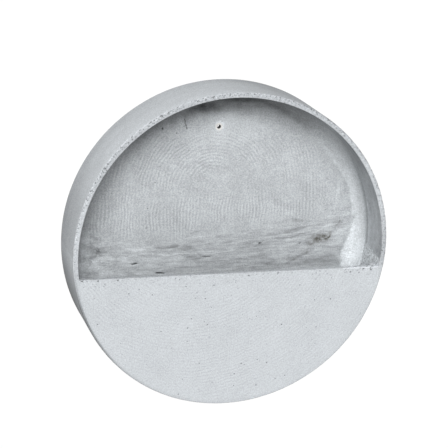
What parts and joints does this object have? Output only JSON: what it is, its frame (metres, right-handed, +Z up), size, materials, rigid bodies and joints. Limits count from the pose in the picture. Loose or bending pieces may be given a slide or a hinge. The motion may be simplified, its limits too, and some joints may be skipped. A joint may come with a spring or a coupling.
{
  "type": "round wall planter",
  "caption": "Round concrete wall planter: a shallow drum whose lower half is closed by a half-moon panel to hold soil and plants, hung from one hole in its back plate.",
  "frame": {"origin": "centre of the back face, on the wall", "axes": "+Z up, +X to the right seen from the front, +Y into the wall; the open front faces -Y"},
  "size_m": [0.4, 0.08, 0.4],
  "materials": {
    "back_plate": "matte",
    "rim_wall": "matte",
    "front_panel": "matte",
    "back_cove": "matte",
    "panel_fillet": "matte",
    "pocket_render": "matte",
    "hole_collar": "matte",
    "back_scrim": "matte",
    "rim_scrim": "matte",
    "front_scrim": "matte"
  },
  "bodies": {
    "root": {"back_plate": "back_plate", "rim_wall": "rim_wall", "front_panel": "front_panel", "back_cove": "back_cove", "panel_fillet": "panel_fillet", "pocket_render": "pocket_render", "hole_collar": "hole_collar", "back_scrim": "back_scrim", "rim_scrim": "rim_scrim", "front_scrim": "front_scrim"}
  },
  "joints": []
}
